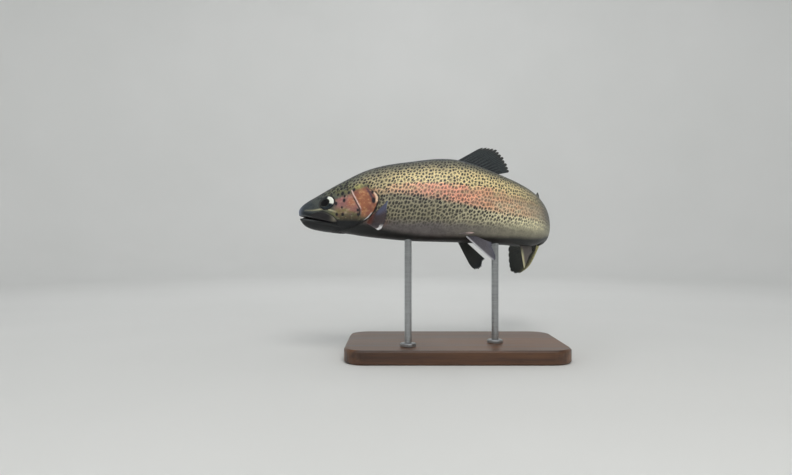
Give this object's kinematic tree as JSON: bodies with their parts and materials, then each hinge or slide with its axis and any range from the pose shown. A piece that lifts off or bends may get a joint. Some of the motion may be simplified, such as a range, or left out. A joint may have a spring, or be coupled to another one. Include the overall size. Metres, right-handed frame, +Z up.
{
  "type": "rainbow trout on a display stand",
  "caption": "Life-size rainbow trout, curved as it turns, held over a flat plinth by two short rods.",
  "frame": {"origin": "under the middle of the whole model's box, at the underside of the plinth", "axes": "+X from the nose towards the bend of the body, +Y to the fish's right, +Z up"},
  "size_m": [0.3128, 0.2866, 0.2433],
  "materials": {
    "flesh": "wet, scaled fish skin",
    "fin": "dark rays and thin membrane",
    "eye": "clear, polished eye",
    "stand_wood": "satin dark walnut",
    "stand_metal": "brushed"
  },
  "bodies": {
    "root": {"head": "flesh", "lower_jaw": "flesh", "maxilla_left": "flesh", "maxilla_right": "flesh", "gill_cover_left": "flesh", "gill_cover_right": "flesh", "eye_left": "eye", "eye_right": "eye", "trunk_front": "flesh", "trunk_middle": "flesh", "trunk_rear": "flesh", "tail_peduncle": "flesh", "dorsal_fin": "fin", "adipose_fin": "fin", "anal_fin": "fin", "caudal_fin": "fin", "pectoral_fin_left": "fin", "pectoral_fin_right": "fin", "pelvic_fin_left": "fin", "pelvic_fin_right": "fin", "stand_plinth": "stand_wood", "stand_rod_front": "stand_metal", "stand_rod_rear": "stand_metal"}
  },
  "joints": []
}
